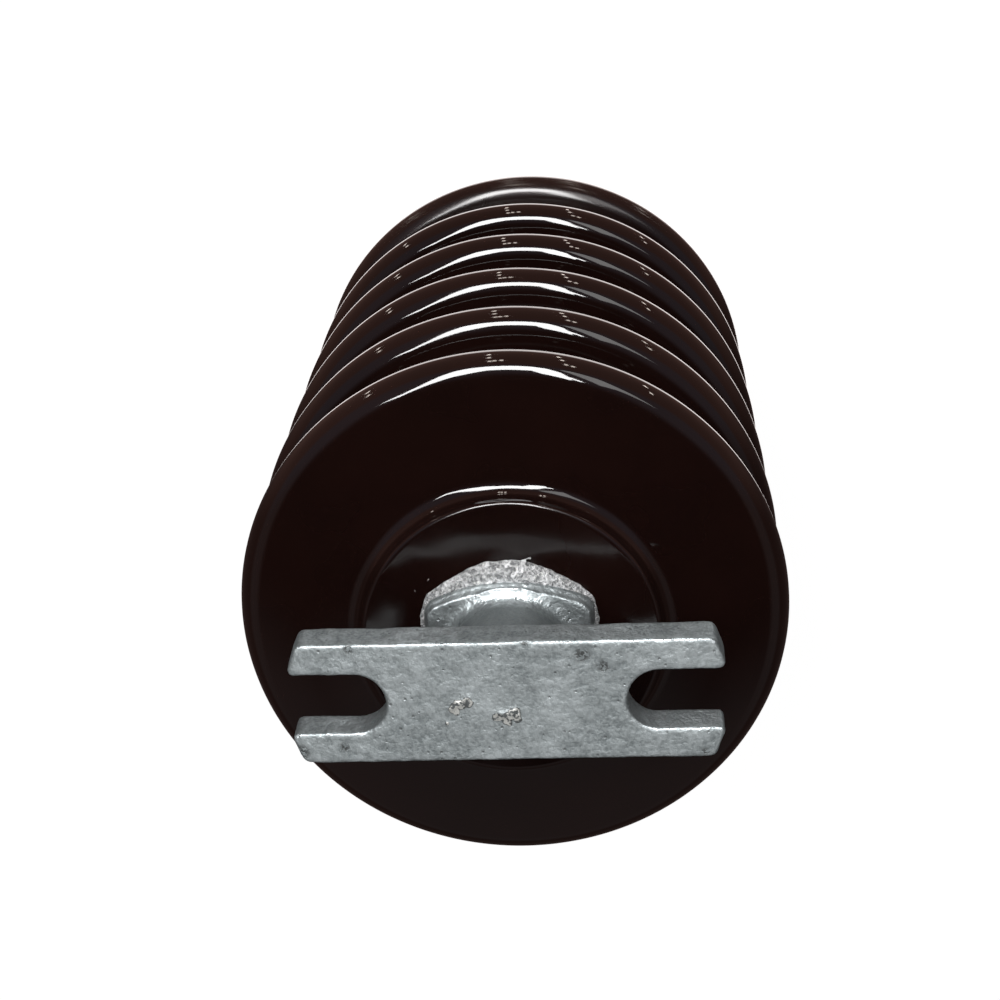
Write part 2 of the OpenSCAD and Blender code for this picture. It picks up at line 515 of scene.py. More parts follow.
@dataclass(frozen=True)
class GlazedPorcelain:
    """Dark chocolate-brown glaze over white porcelain."""

    deep: tuple[float, float, float, float] = (0.0225, 0.0083, 0.0066, 1.0)
    thin: tuple[float, float, float, float] = (0.0290, 0.0105, 0.0082, 1.0)
    pinhole: tuple[float, float, float, float] = (0.22, 0.19, 0.17, 1.0)

    @staticmethod
    def end_face(wiring: Wiring, place: bpy.types.NodeSocket) -> bpy.types.NodeSocket:
        """How wavy the glaze lies: much on the hand-finished end faces, little on the turned sheds.

        Args:
            wiring: The material's wiring.
            place: The Object coordinates.

        Returns:
            The amount, 0 to 1.
        """
        parts = wiring.add("SeparateXYZ", {0: place})
        from_middle = wiring.math("ABSOLUTE", wiring.math("SUBTRACT", parts.outputs["Z"], MID_HEIGHT))
        return wiring.spread(from_middle, 0.1115, 0.1128, 0.06, 1.0)

    @staticmethod
    def dusty(wiring: Wiring, place: bpy.types.NodeSocket) -> bpy.types.NodeSocket:
        """Where dust dulls the glaze: on the lowest shed only.

        Args:
            wiring: The material's wiring.
            place: The Object coordinates.

        Returns:
            The mask, 0 to 1.
        """
        parts = wiring.add("SeparateXYZ", {0: place})
        return wiring.spread(parts.outputs["Z"], 0.068, 0.078, 1.0, 0.0)

    def make(self, effects: Effects) -> bpy.types.Material:
        """Build the material.

        Args:
            effects: The shared node groups.

        Returns:
            The glaze.
        """
        material, wiring, shader, place = new_material("chocolate_glaze")
        cloud = wiring.group(
            effects.mottle, {"Vector": place, "Size": 0.03, "Detail": 2.0, "Low": 0.3, "High": 0.7}
        )
        pinholes = wiring.group(
            effects.specks, {"Vector": place, "Pitch": 0.0085, "Share": 0.2, "Fullness": 0.04}
        )
        colour = wiring.mix(cloud.outputs[0], self.deep, self.thin)
        wiring.feed(shader.inputs["Base Color"], wiring.mix(pinholes.outputs[0], colour, self.pinhole))
        waves = wiring.group(
            effects.mottle, {"Vector": place, "Size": 0.02, "Detail": 1.0, "Low": 0.1, "High": 0.9}
        )
        normal = wiring.bump(
            wiring.math("MULTIPLY", waves.outputs[0], self.end_face(wiring, place)), 0.0006, 1.0
        )
        wiring.feed(shader.inputs["Normal"], wiring.bump(pinholes.outputs[0], -0.0001, 0.5, normal))
        flat = self.end_face(wiring, place)
        haze = wiring.spread(cloud.outputs[0], 0.0, 1.0, 0.03, 0.06)
        haze = wiring.math("MULTIPLY_ADD", self.dusty(wiring, place), 0.13, haze)
        haze = wiring.math("MULTIPLY_ADD", flat, 0.11, haze)
        wiring.feed(shader.inputs["Roughness"], haze)
        shader.inputs["IOR"].default_value = 1.5
        return material


@dataclass(frozen=True)
class HotDipZinc:
    """Weathered hot-dip zinc on cast iron."""

    light: tuple[float, float, float, float] = (0.60, 0.65, 0.665, 1.0)
    dull: tuple[float, float, float, float] = (0.21, 0.235, 0.24, 1.0)
    pit: tuple[float, float, float, float] = (0.05, 0.052, 0.05, 1.0)
    dross: tuple[float, float, float, float] = (0.68, 0.68, 0.65, 1.0)
    seat: float = 0.2919
    porous: tuple[tuple[float, float, float], ...] = (
        (19.0, 12.8, 2.4),
        (24.1, 9.6, 2.0),
        (-41.3, -12.2, 1.4),
        (-52.3, -13.4, 2.6),
        (-38.3, 15.8, 1.7),
        (5.0, 16.4, 1.3),
        (49.0, -15.0, 1.2),
    )
    crusts: tuple[tuple[float, float, float], ...] = (
        (-13.0, -1.4, 1.7), (-11.6, -0.3, 1.9), (-9.8, 0.4, 1.6), (-12.6, -2.6, 1.0),
        (-2.2, -4.2, 1.4), (0.0, -4.6, 1.8), (2.0, -3.4, 1.9), (2.6, -4.9, 1.3), (0.6, -6.0, 0.9),
        (-15.0, -5.6, 0.6),
    )

    def make(self, effects: Effects) -> bpy.types.Material:
        """Build the material.

        Args:
            effects: The shared node groups.

        Returns:
            The zinc coat.
        """
        material, wiring, shader, place = new_material("hot_dip_zinc")
        broad = wiring.group(
            effects.mottle, {"Vector": place, "Size": 0.013, "Detail": 4.0, "Low": 0.38, "High": 0.62}
        )
        fine = wiring.group(
            effects.mottle, {"Vector": place, "Size": 0.0028, "Detail": 5.0, "Low": 0.35, "High": 0.65}
        )
        grain = wiring.group(
            effects.mottle, {"Vector": place, "Size": 0.0008, "Detail": 5.0, "Low": 0.34, "High": 0.66}
        )
        pits = wiring.group(
            effects.specks, {"Vector": place, "Pitch": 0.0017, "Share": 0.3, "Fullness": 0.24}
        )
        shade = wiring.math(
            "MULTIPLY_ADD", fine.outputs[0], 0.3, wiring.math("MULTIPLY", broad.outputs[0], 0.38)
        )
        shade = wiring.math("MULTIPLY_ADD", grain.outputs[0], 0.35, shade)
        # Painted shade: both necks are drawn darker; the same tone also sets the zinc's roughness.
        shade = wiring.math("MULTIPLY", shade, self.neck_shadow(wiring, place))
        broken = wiring.spread(grain.outputs[0], 0.30, 0.62)
        porous = wiring.math("MULTIPLY", self.spots(wiring, place, self.porous), broken)
        holes = wiring.math("MAXIMUM", wiring.math("MULTIPLY", pits.outputs[0], 0.5), porous)
        crust = wiring.math("MULTIPLY_ADD", fine.outputs[0], 0.5, self.spots(wiring, place, self.crusts))
        rim = wiring.spread(crust, 0.50, 0.62)
        crust = wiring.spread(crust, 0.62, 0.72)
        # Painted shade: a dark ring in the pit colour round the edge of each crust.
        crust_edge_shade = wiring.math(
            "MULTIPLY", wiring.math("SUBTRACT", rim, wiring.math("MULTIPLY", crust, broken)), 0.75
        )
        colour = wiring.mix(holes, wiring.mix(shade, self.dull, self.light), self.pit)
        colour = wiring.mix(wiring.math("MULTIPLY", crust, broken), colour, self.dross)
        colour = wiring.mix(crust_edge_shade, colour, self.pit)
        # Painted shade: wherever another surface mirrors the zinc, its colour is drawn 70 % of the way to the
        # pit colour.
        shade_in_reflections = wiring.math("MULTIPLY", wiring.add("LightPath").outputs["Is Glossy Ray"], 0.7)
        wiring.feed(shader.inputs["Base Color"], wiring.mix(shade_in_reflections, colour, self.pit))
        wiring.feed(shader.inputs["Roughness"], wiring.spread(shade, 0.0, 1.0, 0.56, 0.36))
        wiring.feed(shader.inputs["Metallic"], wiring.spread(holes, 0.0, 1.0, 0.75, 0.4))
        normal = wiring.bump(fine.outputs[0], 0.00012, 0.8)
        normal = wiring.bump(grain.outputs[0], 0.00005, 0.9, normal)
        normal = wiring.bump(crust, 0.0006, 1.0, normal)
        wiring.feed(shader.inputs["Normal"], wiring.bump(holes, -0.00025, 0.9, normal))
        return material

    @staticmethod
    def neck_shadow(wiring: Wiring, place: bpy.types.NodeSocket) -> bpy.types.NodeSocket:
        """Painted shade on both necks: the coat is drawn darker between the flange and the bar.

        Args:
            wiring: The material's wiring.
            place: The Object coordinates.

        Returns:
            A factor for the brightness.
        """
        parts = wiring.add("SeparateXYZ", {0: place})
        from_middle = wiring.math("ABSOLUTE", wiring.math("SUBTRACT", parts.outputs["Z"], MID_HEIGHT))
        start = wiring.spread(from_middle, 0.1228, 0.1250)
        return wiring.math(
            "SUBTRACT", 1.0,
            wiring.math("MULTIPLY", start, wiring.spread(from_middle, 0.1362, 0.1355, 0.0, 0.75))
        )

    def spots(
        self, wiring: Wiring, place: bpy.types.NodeSocket, where: tuple[tuple[float, float, float], ...]
    ) -> bpy.types.NodeSocket:
        """Soft round spots on the top seat.

        Args:
            wiring: The material's wiring.
            place: The Object coordinates.
            where: (x, y, radius) of each spot, in millimetres.

        Returns:
            The mask, 0 to 1.
        """
        total: Feed = 0.0
        for x, y, radius in where:
            spot = (x * MM, y * MM, self.seat)
            away = wiring.add("VectorMath", {0: place, 1: spot}, operation="DISTANCE").outputs["Value"]
            total = wiring.math(
                "MAXIMUM", total, wiring.spread(away, 0.3 * radius * MM, 1.3 * radius * MM, 0.9, 0.0)
            )
        return total


@dataclass(frozen=True)
class CementGrout:
    """Grey cement with coarse sand in it."""

    pale: tuple[float, float, float, float] = (0.93, 0.93, 0.94, 1.0)
    dark: tuple[float, float, float, float] = (0.24, 0.25, 0.255, 1.0)
    sparkle: tuple[float, float, float, float] = (0.95, 0.95, 0.93, 1.0)

    def make(self, effects: Effects) -> bpy.types.Material:
        """Build the material.

        Args:
            effects: The shared node groups.

        Returns:
            The grout.
        """
        material, wiring, shader, place = new_material("cement_grout")
        patches = wiring.group(
            effects.mottle, {"Vector": place, "Size": 0.0022, "Detail": 5.0, "Low": 0.38, "High": 0.60}
        )
        grit = wiring.group(
            effects.mottle, {"Vector": place, "Size": 0.0008, "Detail": 3.0, "Low": 0.36, "High": 0.60}
        )
        grains = wiring.group(
            effects.specks, {"Vector": place, "Pitch": 0.0008, "Share": 0.3, "Fullness": 0.45}
        )
        sparks = wiring.group(
            effects.specks, {"Vector": place, "Pitch": 0.0011, "Share": 0.36, "Fullness": 0.42}
        )
        shade = wiring.math(
            "MULTIPLY_ADD", grit.outputs[0], 0.5, wiring.math("MULTIPLY", patches.outputs[0], 0.5)
        )
        colour = wiring.mix(shade, self.dark, self.pale)
        colour = wiring.mix(wiring.math("MULTIPLY", grains.outputs[0], 0.3), colour, self.dark)
        wiring.feed(shader.inputs["Base Color"], wiring.mix(sparks.outputs[0], colour, self.sparkle))
        shader.inputs["Roughness"].default_value = 0.9
        normal = wiring.bump(patches.outputs[0], 0.0006, 1.0)
        normal = wiring.bump(grit.outputs[0], 0.0004, 1.0, normal)
        wiring.feed(shader.inputs["Normal"], wiring.bump(grains.outputs[0], 0.0003, 1.0, normal))
        return material


@dataclass(frozen=True)
class Granules:
    """A matt body made of small grains: the fired sand band and the cork pad."""

    name: str
    light: tuple[float, float, float, float]
    dark: tuple[float, float, float, float]
    grain: float
    roughness: float

    def make(self, effects: Effects) -> bpy.types.Material:
        """Build the material.

        Args:
            effects: The shared node groups.

        Returns:
            The granular finish.
        """
        material, wiring, shader, place = new_material(self.name)
        feeds = {"Vector": place, "Pitch": self.grain, "Share": 0.8, "Fullness": 0.6}
        grains = wiring.group(effects.specks, feeds)
        patches = wiring.group(
            effects.mottle,
            {"Vector": place, "Size": self.grain * 2.5, "Detail": 3.0, "Low": 0.3, "High": 0.7}
        )
        shade = wiring.math(
            "MULTIPLY_ADD", grains.outputs[0], 0.6, wiring.math("MULTIPLY", patches.outputs[0], 0.4)
        )
        wiring.feed(shader.inputs["Base Color"], wiring.mix(shade, self.dark, self.light))
        shader.inputs["Roughness"].default_value = self.roughness
        wiring.feed(shader.inputs["Normal"], wiring.bump(grains.outputs[0], self.grain * 0.3, 1.0))
        return material


@dataclass(frozen=True)
class BitumenCoat:
    """A brushed film of black bitumen."""

    black: tuple[float, float, float, float] = (0.012, 0.011, 0.010, 1.0)
    dusty: tuple[float, float, float, float] = (0.030, 0.028, 0.026, 1.0)

    def make(self, effects: Effects) -> bpy.types.Material:
        """Build the material.

        Args:
            effects: The shared node groups.

        Returns:
            The bitumen.
        """
        material, wiring, shader, place = new_material("bitumen_film")
        patches = wiring.group(effects.mottle, {"Vector": place, "Size": 0.005, "Detail": 3.0})
        wiring.feed(shader.inputs["Base Color"], wiring.mix(patches.outputs[0], self.black, self.dusty))
        wiring.feed(shader.inputs["Roughness"], wiring.spread(patches.outputs[0], 0.0, 1.0, 0.35, 0.6))
        wiring.feed(shader.inputs["Normal"], wiring.bump(patches.outputs[0], 0.0003, 0.7))
        return material


class Finishes:
    """Every finish of the insulator, made once."""

    def __init__(self, effects: Effects) -> None:
        """Make the materials.

        Args:
            effects: The shared node groups.
        """
        sand = Granules("fired_sand_band", (0.50, 0.43, 0.34, 1.0), (0.20, 0.16, 0.12, 1.0), 0.0012, 0.85)
        cork = Granules("cork_granules", (0.42, 0.27, 0.15, 1.0), (0.15, 0.08, 0.04, 1.0), 0.0025, 0.9)
        self.by_slot: dict[Slot, bpy.types.Material] = {
            Slot.PORCELAIN: GlazedPorcelain().make(effects),
            Slot.IRON: HotDipZinc().make(effects),
            Slot.CEMENT: CementGrout().make(effects),
            Slot.SAND: sand.make(effects),
            Slot.BITUMEN: BitumenCoat().make(effects),
            Slot.CORK: cork.make(effects),
        }

    def dress(self, piece: bpy.types.Object, slot: Slot) -> None:
        """Give a piece its finish.

        Args:
            piece: The object.
            slot: Whose finish it takes.
        """
        piece.data.materials.clear()
        piece.data.materials.append(self.by_slot[slot])


def place_piece(piece: bpy.types.Object, node: str) -> None:
    """Attach a finished piece to the root body, hide the CAD node that it stands for, and log it.

    Args:
        piece: The finished piece.
        node: The CAD node that it replaces.
    """
    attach(piece, "root")
    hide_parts(node)
    log.info("%s: %d faces, stands for %s", piece.name, len(piece.data.polygons), node)


# ----------------------------------------------------------------------------------------------------------
# Porcelain
# ----------------------------------------------------------------------------------------------------------


@dataclass
class PorcelainColumn:
    """The fired column: a core with six sheds and a socket in each end. Sizes in millimetres."""

    low: float
    high: float
    shed_count: int = 6
    shed_pitch: float = 36.56
    shed_radius: float = 74.28
    rim_radius: float = 7.3
    upper_slope: float = 10.0
    lower_slope: float = 4.0
    core_radius: float = 40.0
    upper_fillet: float = 5.0
    lower_fillet: float = 9.0
    end_rounding: float = 1.8
    top_margin: float = 18.3
    socket_radius: float = 23.0
    socket_depth: float = 48.0
    steps: int = 288

    def upper_at(self, radius: float) -> float:
        """Height of a shed's upper face above its rim centre."""
        slope = math.radians(self.upper_slope)
        return self.rim_radius / math.cos(slope) + (self.rim_centre - radius) * math.tan(slope)

    def lower_at(self, radius: float) -> float:
        """Height of a shed's underside above its rim centre."""
        slope = math.radians(self.lower_slope)
        return -self.rim_radius / math.cos(slope) + (self.rim_centre - radius) * math.tan(slope)

    @property
    def rim_centre(self) -> float:
        """Radius at which the round of the rim is centred."""
        return self.shed_radius - self.rim_radius

    def shed_section(self, height: float) -> list[Point]:
        """The line from the core out over one shed and back.

        Args:
            height: Height of the shed's rim centre.

        Returns:
            (radius, height) pairs, from above the shed to below it.
        """
        over = self.core_radius + self.upper_fillet
        over_at = self.upper_at(over) + self.upper_fillet / math.cos(math.radians(self.upper_slope))
        under = self.core_radius + self.lower_fillet
        under_at = self.lower_at(under) - self.lower_fillet / math.cos(math.radians(self.lower_slope))
        line = arc((over, over_at), self.upper_fillet, 180.0, 270.0 - self.upper_slope, 8)
        line += [(self.core_radius + 0.6 * (self.rim_centre - self.core_radius), 0.0)]
        line[-1] = (line[-1][0], self.upper_at(line[-1][0]))
        line += arc(
            (self.rim_centre, 0.0), self.rim_radius, 90.0 - self.upper_slope, -90.0 - self.lower_slope, 24
        )
        line += arc((under, under_at), self.lower_fillet, 90.0 - self.lower_slope, 180.0, 8)
        return [(r, z + height) for r, z in line]

    def section(self) -> list[Point]:
        """The whole section, from the middle of the top socket to the middle of the bottom one.

        Returns:
            (radius, height) pairs.
        """
        inset = self.core_radius - self.end_rounding
        line = [(0.0, self.high - self.socket_depth), (self.socket_radius, self.high - self.socket_depth)]
        line += [(self.socket_radius, self.high), (0.5 * (self.socket_radius + inset), self.high)]
        line += arc((inset, self.high - self.end_rounding), self.end_rounding, 90.0, 0.0, 6)
        for i in range(self.shed_count):
            line += self.shed_section(self.high - self.top_margin - i * self.shed_pitch)
        line += arc((inset, self.low + self.end_rounding), self.end_rounding, 0.0, -90.0, 6)
        line += [(0.5 * (self.socket_radius + inset), self.low), (self.socket_radius, self.low)]
        line += [(self.socket_radius, self.low + self.socket_depth), (0.0, self.low + self.socket_depth)]
        return line

    def build(self, finishes: Finishes) -> bpy.types.Object:
        """Turn the column and glaze it.

        Args:
            finishes: The materials.

        Returns:
            The finished column.
        """
        column = lathe("glazed_column", self.section(), self.steps)
        smooth_shading(column, 40.0)
        finishes.dress(column, Slot.PORCELAIN)
        place_piece(column, "porcelain_body")
        return column


# ----------------------------------------------------------------------------------------------------------
# Castings and cement
# ----------------------------------------------------------------------------------------------------------


@dataclass(frozen=True)
class Crumb:
    """A small flattened blob of metal or cement. Sizes in millimetres, height from the core's end face."""

    x: float
    y: float
    height: float
    width: float
    depth: float
    thick: float
    turn: float = 0.0

    def build(self, face: float) -> bpy.types.Object:
        """Model the blob, ready to be joined and remeshed.

        Args:
            face: Height of the core's end face.

        Returns:
            The blob.
        """
        deselect_all()
        bpy.ops.mesh.primitive_ico_sphere_add(subdivisions=2, radius=0.5 * MM)
        blob = bpy.context.object
        bpy.ops.object.mode_set(mode="EDIT")
        bpy.ops.transform.resize(value=(self.width, self.depth, self.thick))
        bpy.ops.transform.rotate(
            value=-math.radians(self.turn), orient_axis="Z", center_override=(0.0, 0.0, 0.0)
        )
        bpy.ops.transform.translate(value=(self.x * MM, self.y * MM, (self.height + face) * MM))
        bpy.ops.object.mode_set(mode="OBJECT")
        return blob


@dataclass
class BarFitting:
    """One zinc-coated casting: slotted bar, neck, stepped flange and grooved shank. Sizes in millimetres.

    Heights are outward from the core's end face.
    """

    face: float
    bar_length: float = 108.7
    bar_width: float = 34.0
    end_bow: float = 40.0
    bar_corner: float = 3.0
    slot_root: float = 38.1
    slot_radius: float = 7.9
    mouth_corner: float = 1.8
    bar_back: float = 22.3
    bar_seat: float = 32.8
    edge: float = 1.1
    neck_radius: float = 16.2
    neck_fillet: float = 3.0
    flange_width: float = 44.8
    flange_height: float = 38.2
    crown_radius: float = 44.0
    flange_low: float = 2.0
    flange_lip: float = 4.5
    flange_face: float = 6.7
    flange_step: float = 0.8
    shank_radius: float = 13.0
    ring_radius: float = 18.0
    shank_end: float = -44.0
    voxel: float = 0.55

    def bar_outline(self) -> list[Point]:
        """The bar's outline, with a slot open at each end.

        Returns:
            (x, y) pairs, round the bar once.
        """
        half = self.bar_width / 2
        corner = self.bar_corner
        mouth = self.mouth_corner
        mouth_side = self.slot_radius + mouth
        mouth_reach = math.sqrt((self.end_bow - mouth) ** 2 - mouth_side**2)
        bow = self.bar_length / 2 - mouth - mouth_reach
        reach = math.sqrt((self.end_bow - corner) ** 2 - (half - corner) ** 2)
        outer = math.degrees(math.atan2(half - corner, reach))
        inner = math.degrees(math.atan2(mouth_side, mouth_reach))
        side = [(0.0, half), (bow + 0.5 * reach, half)]
        side += arc((bow + reach, half - corner), corner, 90.0, outer, 6)
        side += arc((bow + mouth_reach, mouth_side), mouth, inner, -90.0, 6)
        side += arc((self.slot_root, 0.0), self.slot_radius, 90.0, 270.0, 18)
        side += arc((bow + mouth_reach, -mouth_side), mouth, 90.0, -inner, 6)
        side += arc((bow + reach, corner - half), corner, -outer, -90.0, 6)
        side += [(bow + 0.5 * reach, -half)]
        return side + [(-x, -y) for x, y in side]

    def flange_outline(self, inset: float) -> list[Point]:
        """The flange's outline: two crowned edges and two short straight sides.

        Args:
            inset: How far in from the full outline.

        Returns:
            (x, y) pairs, round the flange once.
        """
        half = self.flange_width / 2 - inset
        crown = self.crown_radius
        centre = self.flange_height / 2 - inset - crown
        reach = math.degrees(math.asin((half - 1.5) / crown))
        edge = arc((0.0, centre), crown, 90.0 + reach, 90.0 - reach, 16)
        last = edge[-1][1]
        edge += [(half, last - 2.0), (half, 2.0 - last)]
        return edge + [(-x, -y) for x, y in edge]

    def neck_section(self) -> list[Point]:
        """The neck's section, flared into the flange.

        Returns:
            (radius, height) pairs, from the flange's face to the bar's back.
        """
        fillet = self.neck_fillet
        reach = self.neck_radius + fillet
        low = self.flange_face
        high = self.bar_back
        line = [(0.0, low - 1.0), (reach, low - 1.0)]
        line += arc((reach, low + fillet), fillet, 270.0, 180.0, 8)
        return line + [(self.neck_radius, high + 1.0), (0.0, high + 1.0)]

    def shank_section(self) -> list[Point]:
        """The grooved shank's section.

        Returns:
            (radius, height) pairs, from under the flange to the shank's end.
        """
        line = [
            (0.0, self.flange_low + 1.0), (self.shank_radius, self.flange_low + 1.0),
            (self.shank_radius, -6.0)
        ]
        pitch = (-6.0 - self.shank_end) / 3
        for i in range(3):
            top = -6.0 - i * pitch
            line += [(self.ring_radius, top - pitch + 4.0), (self.ring_radius, top - pitch + 2.0)]
            line += [(self.shank_radius, top - pitch + 1.0), (self.shank_radius, top - pitch)]
        return line + [(0.0, self.shank_end)]

    def crusts(self) -> list[Crumb]:
        """The drips of zinc left on the seat face.

        Returns:
            The blobs of both crusts and of one small bead.
        """
        seat = self.bar_seat
        first = [
            (-13.4, -1.2, 2.2, 1.5), (-12.2, -0.2, 2.6, 1.7), (-10.7, 0.7, 2.4, 1.3), (-9.6, 1.5, 1.6, 1.0)
        ]
        second = [
            (-1.6, -2.9, 2.0, 1.2), (-0.2, -3.6, 2.6, 1.7), (1.4, -2.6, 2.6, 1.5), (2.6, -3.6, 1.8, 1.6)
        ]
        second += [(0.5, -4.9, 1.6, 0.9)]
        blobs = [Crumb(x, y, seat, wide, deep, 1.0, 25.0) for x, y, wide, deep in first + second]
        return blobs + [Crumb(-15.0, -5.6, seat, 0.9, 0.9, 1.1)]

    def lifted(self, points: list[Point]) -> list[Point]:
        """A section moved out to the core's end face."""
        return [(r, z + self.face) for r, z in points]

    def build(self) -> bpy.types.Object:
        """Model the casting and give it its cast skin.

        Returns:
            The casting.
        """
        at = self.face
        bar = plate("bar", self.bar_outline(), at + self.bar_back, at + self.bar_seat)
        bevel_level_edges(bar, at + self.bar_seat, self.edge, 4)
        bevel_level_edges(bar, at + self.bar_back, self.edge, 4)
        lip = plate("lip", self.flange_outline(0.0), at + self.flange_low, at + self.flange_lip)
        bevel_level_edges(lip, at + self.flange_lip, 0.9, 3)
        raised = plate(
            "raised", self.flange_outline(self.flange_step), at + self.flange_lip - 1.0, at + self.flange_face
        )
        bevel_level_edges(raised, at + self.flange_face, 1.0, 3)
        neck = lathe("neck", self.lifted(self.neck_section()), 64)
        shank = lathe("shank", self.lifted(self.shank_section()), 64)
        crust = [crumb.build(at) for crumb in self.crusts()]
        casting = join("top_casting", [bar, lip, raised, neck, shank, *crust])
        apply_modifier(casting, "REMESH", mode="VOXEL", voxel_size=self.voxel * MM, use_smooth_shade=True)
        apply_modifier(casting, "SMOOTH", factor=0.5, iterations=2)
        roughen(casting, 9.0, 0.5, 1)
        roughen(casting, 2.4, 0.14, 2)
        return casting


@dataclass
class CementCollar:
    """The cement in one socket, with the rough mound that stands out round the flange. Millimetres."""

    face: float
    core: float = 21.8
    depth: float = 44.0
    foot: float = -0.5
    voxel: float = 0.45

    @staticmethod
    def outline() -> list[Point]:
        """The mound's uneven outline on the core's end face.

        Returns:
            (x, y) pairs, round the mound once.
        """
        front = [(-24.0, 8.0), (-22.0, 14.5), (-17.0, 18.0), (-11.0, 21.5), (-6.0, 23.5), (0.0, 24.0)]
        front += [(5.0, 23.5), (11.0, 21.0), (18.5, 16.5), (22.5, 12.5), (23.5, 7.0)]
        back = [(23.5, -8.0), (17.5, -17.0), (11.0, -21.5), (0.0, -24.0), (-7.0, -23.0), (-18.0, -16.5)]
        back += [(-24.0, -8.0)]
        return front + back

    def mound(self) -> bpy.types.Object:
        """Draw the outline up into a low mound that narrows towards the flange.

        Returns:
            The mound.
        """
        foot = [Vector((x, y, self.face + self.foot)) * MM for x, y in self.outline()]
        piece = trace("mound", foot, closed=True)
        bpy.ops.mesh.edge_face_add()
        for rise, narrow in ((0.7, 1.0), (1.0, 0.975), (1.2, 0.94), (0.8, 0.92), (0.2, 0.9)):
            bpy.ops.mesh.extrude_region_move(TRANSFORM_OT_translate={"value": (0, 0, rise * MM)})
            bpy.ops.transform.resize(value=(narrow, narrow, 1.0), center_override=(0.0, 0.0, 0.0))
        bpy.ops.mesh.select_all(action="SELECT")
        bpy.ops.mesh.normals_make_consistent(inside=False)
        bpy.ops.object.mode_set(mode="OBJECT")
        return piece

    def crumbs(self) -> list[Crumb]:
        """Splashes of cement beside the mound, and a thin flash along its crest.

        Returns:
            The splashes.
        """
        splashes = [
            Crumb(-20.9, 18.4, 0.1, 1.2, 0.8, 0.8, 60.0), Crumb(-24.6, 15.4, 0.1, 1.0, 1.7, 0.9, 20.0)
        ]
        return splashes + [Crumb(3.0, 23.9, 0.6, 7.5, 0.55, 0.7, 8.0)]

    def build(self) -> bpy.types.Object:
        """Model the grout with its rough skin.

        Returns:
            The grout.
        """
        plug = [(0.0, 0.5), (self.core, 0.5), (self.core, -self.depth), (0.0, -self.depth)]
        filling = lathe("filling", [(r, z + self.face) for r, z in plug], 96)
        splashes = [crumb.build(self.face) for crumb in self.crumbs()]
        grout = join("top_grout", [self.mound(), filling, *splashes])
        apply_modifier(grout, "REMESH", mode="VOXEL", voxel_size=self.voxel * MM, use_smooth_shade=True)
        apply_modifier(grout, "SMOOTH", factor=0.5, iterations=1)
        roughen(grout, 1.7, 0.6, 2)
        return grout


def mirrored_end(piece: bpy.types.Object, name: str, middle: float) -> bpy.types.Object:
    """Copy an end piece and turn the copy over to the other end.

    Args:
        piece: The piece at the top end.
        name: Name of the copy.
        middle: Height of the line that it turns about, in metres.

    Returns:
        The copy, with its own mesh.
    """
    activate(piece)
    bpy.ops.object.duplicate(linked=False)
    copy = bpy.context.object
    copy.name = name
    copy.data.name = name
    bpy.ops.object.mode_set(mode="EDIT")
    bpy.ops.mesh.select_all(action="SELECT")
    bpy.ops.transform.rotate(value=math.pi, orient_axis="X", center_override=(0.0, 0.0, middle))
    bpy.ops.object.mode_set(mode="OBJECT")
    return copy


@dataclass
class EndJoints:
    """Both ends: castings, grout and the hidden layers of each cemented joint."""

    low: float
    high: float

    def build(self, finishes: Finishes) -> list[bpy.types.Object]:
        """Model the ends and dress them.

        Args:
            finishes: The materials.

        Returns:
            The new pieces: castings first, then grout.
        """
        middle = 0.5 * (self.low + self.high) * MM
        casting = BarFitting(self.high).build()
        grout = CementCollar(self.high).build()
        pieces = [casting, mirrored_end(casting, "bottom_casting", middle)]
        pieces += [grout, mirrored_end(grout, "bottom_grout", middle)]
        nodes = ("top_fitting", "bottom_fitting", "top_cement", "bottom_cement")
        slots = (Slot.IRON, Slot.IRON, Slot.CEMENT, Slot.CEMENT)
        for piece, node, slot in zip(pieces, nodes, slots):
            smooth_shading(piece, 60.0)
            finishes.dress(piece, slot)
            place_piece(piece, node)
        for end in End:
            self.dress_layers(end, finishes)
        return pieces

    @staticmethod
    def dress_layers(end: End, finishes: Finishes) -> None:
        """Dress the layers between casting and porcelain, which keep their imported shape.

        Args:
            end: Which end.
            finishes: The materials.
        """
        layers = {"sand_band": Slot.SAND, "bitumen_coat": Slot.BITUMEN, "cushion_pad": Slot.CORK}
        for layer, slot in layers.items():
            node = f"{end.value}_{layer}"
            finishes.dress(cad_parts[node], slot)
            log.info("%s: dressed as %s", node, slot.value)


# ----------------------------------------------------------------------------------------------------------
# Studio
# ----------------------------------------------------------------------------------------------------------


@dataclass(frozen=True)
class Panel:
    """One soft light, placed by angles about the middle of the insulator."""

    name: str
    tilt: float
    turn: float
    distance: float
    width: float
    height: float
    radiance: float
    colour: tuple[float, float, float] = (1.0, 1.0, 1.0)
    diffuse: bool = True
    glossy: bool = True

    def build(self, aim: Vector, lit: list[bpy.types.Object] | None = None) -> bpy.types.Object:
        """Hang the light.

        Args:
            aim: The point that it faces.
            lit: The only pieces that it lights; None lights all.

        Returns:
            The light.
        """
        tilt, turn = math.radians(self.tilt), math.radians(self.turn)
        out = Vector((math.sin(tilt) * math.sin(turn), math.sin(tilt) * math.cos(turn), math.cos(tilt)))
        data = bpy.data.lights.new(self.name, "AREA")
        data.shape = "RECTANGLE"
        data.size = self.width
        data.size_y = self.height
        data.energy = self.radiance * math.pi * self.width * self.height
        data.color = self.colour
        light = bpy.data.objects.new(self.name, data)
        bpy.context.scene.collection.objects.link(light)
        light.location = aim + out * self.distance
        light.rotation_euler = out.to_track_quat("Z", "Y").to_euler()
        light.visible_camera = False
        light.visible_diffuse = self.diffuse
        light.visible_glossy = self.glossy
        if lit is not None:
            group = bpy.data.collections.new(f"{self.name}_lights_only")
            for piece in lit:
                group.objects.link(piece)
            light.light_linking.receiver_collection = group
        return light


